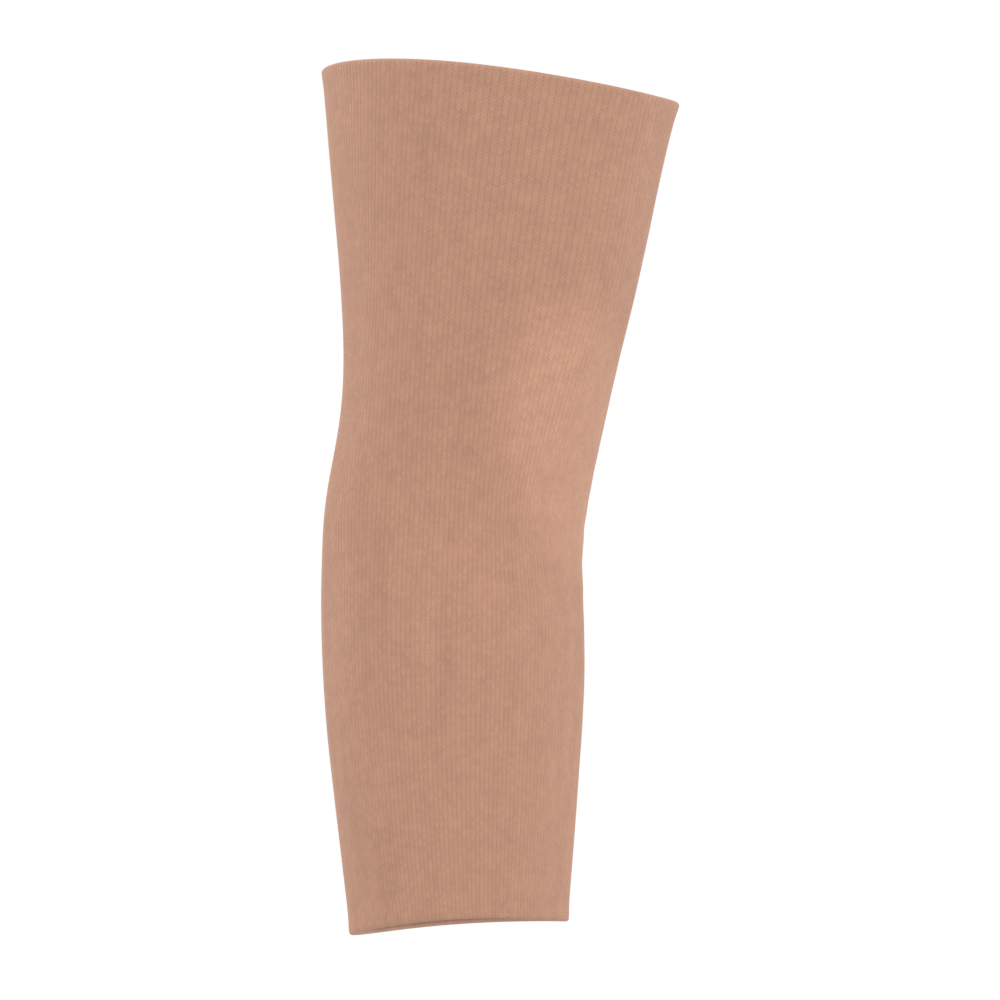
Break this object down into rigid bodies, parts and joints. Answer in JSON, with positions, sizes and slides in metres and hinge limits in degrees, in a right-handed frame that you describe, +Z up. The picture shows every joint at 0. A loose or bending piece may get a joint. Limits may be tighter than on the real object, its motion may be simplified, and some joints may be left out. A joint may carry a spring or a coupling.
{
  "type": "elbow support",
  "caption": "Seamless knitted elbow support: a tapered fabric tube, open at both ends, that follows a slightly bent arm and grips it with even pressure.",
  "frame": {"origin": "centre of the elbow, on the axis of the arm that holds the sleeve", "axes": "+Z up the arm towards the shoulder, -Y the crook of the elbow, +Y its point, +X towards the body"},
  "size_m": [0.106, 0.117, 0.2665],
  "materials": {
    "knit": "matt fine rib knit, tan"
  },
  "bodies": {
    "root": {"knit_sleeve": "knit"}
  },
  "joints": []
}
